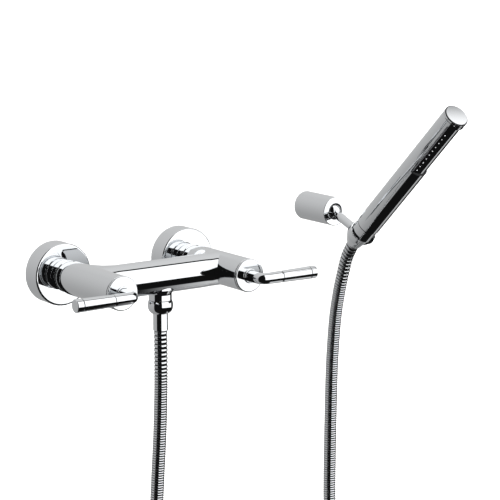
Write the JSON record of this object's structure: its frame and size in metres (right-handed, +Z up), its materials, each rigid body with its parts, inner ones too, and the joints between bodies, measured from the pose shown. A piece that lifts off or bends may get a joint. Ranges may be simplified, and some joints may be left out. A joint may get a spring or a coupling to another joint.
{
  "type": "wall mounted bath faucet",
  "caption": "Wall mounted bath and shower mixer: two quarter-turn lever handles on a bar, a hose outlet, a metal hose, a stick handset and its tilting wall holder.",
  "frame": {"origin": "the point of the wall face midway between the two inlets", "axes": "+X along the wall to the right, +Y into the wall, +Z up"},
  "size_m": [0.4032, 0.2721, 0.7628],
  "materials": {
    "chrome": "polished chrome plate on brass",
    "brass": "turned",
    "steel": "plain stainless",
    "rubber": "matt",
    "ceramic": "lapped alumina",
    "grey_plastic": "satin",
    "nylon": "matt",
    "silicone": "translucent, satin",
    "hose": "chromed interlocked steel strip over a rubber tube"
  },
  "bodies": {
    "mixer": {"mixer_body": "chrome", "outlet_nipple": "brass", "check_valve": "nylon", "hose_washer_lower": "rubber", "hose_nut_lower": "chrome", "hose_ferrule_lower": "chrome", "shower_hose": "hose", "bracket_base": "brass", "bracket_screw": "steel", "wall_plug": "nylon", "bracket_sleeve": "chrome", "ball_seat": "nylon", "wall_flange_left": "chrome", "wall_connector_left": "brass", "union_nut_left": "chrome", "inlet_washer_left": "rubber", "seat_seal_left": "rubber", "cartridge_body_left": "brass", "fixed_ceramic_disc_left": "ceramic", "wall_flange_right": "chrome", "wall_connector_right": "brass", "union_nut_right": "chrome", "inlet_washer_right": "rubber", "seat_seal_right": "rubber", "cartridge_body_right": "brass", "fixed_ceramic_disc_right": "ceramic"},
    "left_handle": {"handle_disc_left": "chrome", "lever_arm_left": "chrome", "lever_grip_left": "chrome", "lever_cap_left": "chrome", "handle_screw_left": "steel", "spindle_left": "brass", "turning_ceramic_disc_left": "ceramic"},
    "right_handle": {"handle_disc_right": "chrome", "lever_arm_right": "chrome", "lever_grip_right": "chrome", "lever_cap_right": "chrome", "handle_screw_right": "steel", "spindle_right": "brass", "turning_ceramic_disc_right": "ceramic"},
    "holder": {"tilting_holder": "chrome", "hose_insert_upper": "brass", "hose_washer_upper": "rubber"},
    "handset": {"handset_tube": "chrome", "handset_cap": "chrome", "cone_nut": "chrome", "handset_nipple": "brass", "waterway_tube": "nylon", "spray_body": "nylon", "nozzle_mat": "silicone", "spray_plate": "grey_plastic"}
  },
  "joints": [
    {"name": "left_handle_turn", "type": "hinge", "parent": "mixer", "child": "left_handle", "pos_m": [-0.075, -0.135, 0], "axis": [0, -1, 0], "range_deg": [0, 90]},
    {"name": "right_handle_turn", "type": "hinge", "parent": "mixer", "child": "right_handle", "pos_m": [0.075, -0.135, 0], "axis": [0, 1, 0], "range_deg": [0, 90]},
    {"name": "holder_tilt", "type": "hinge", "parent": "mixer", "child": "holder", "pos_m": [0.247, -0.0485, 0.0375], "axis": [1, 0, 0], "range_deg": [-25, 12], "deforming": ["shower_hose"]},
    {"name": "handset_spin", "type": "hinge", "parent": "holder", "child": "handset", "pos_m": [0.247, -0.0921, 0.013], "axis": [0, -0.7242, 0.6896], "continuous": true}
  ]
}
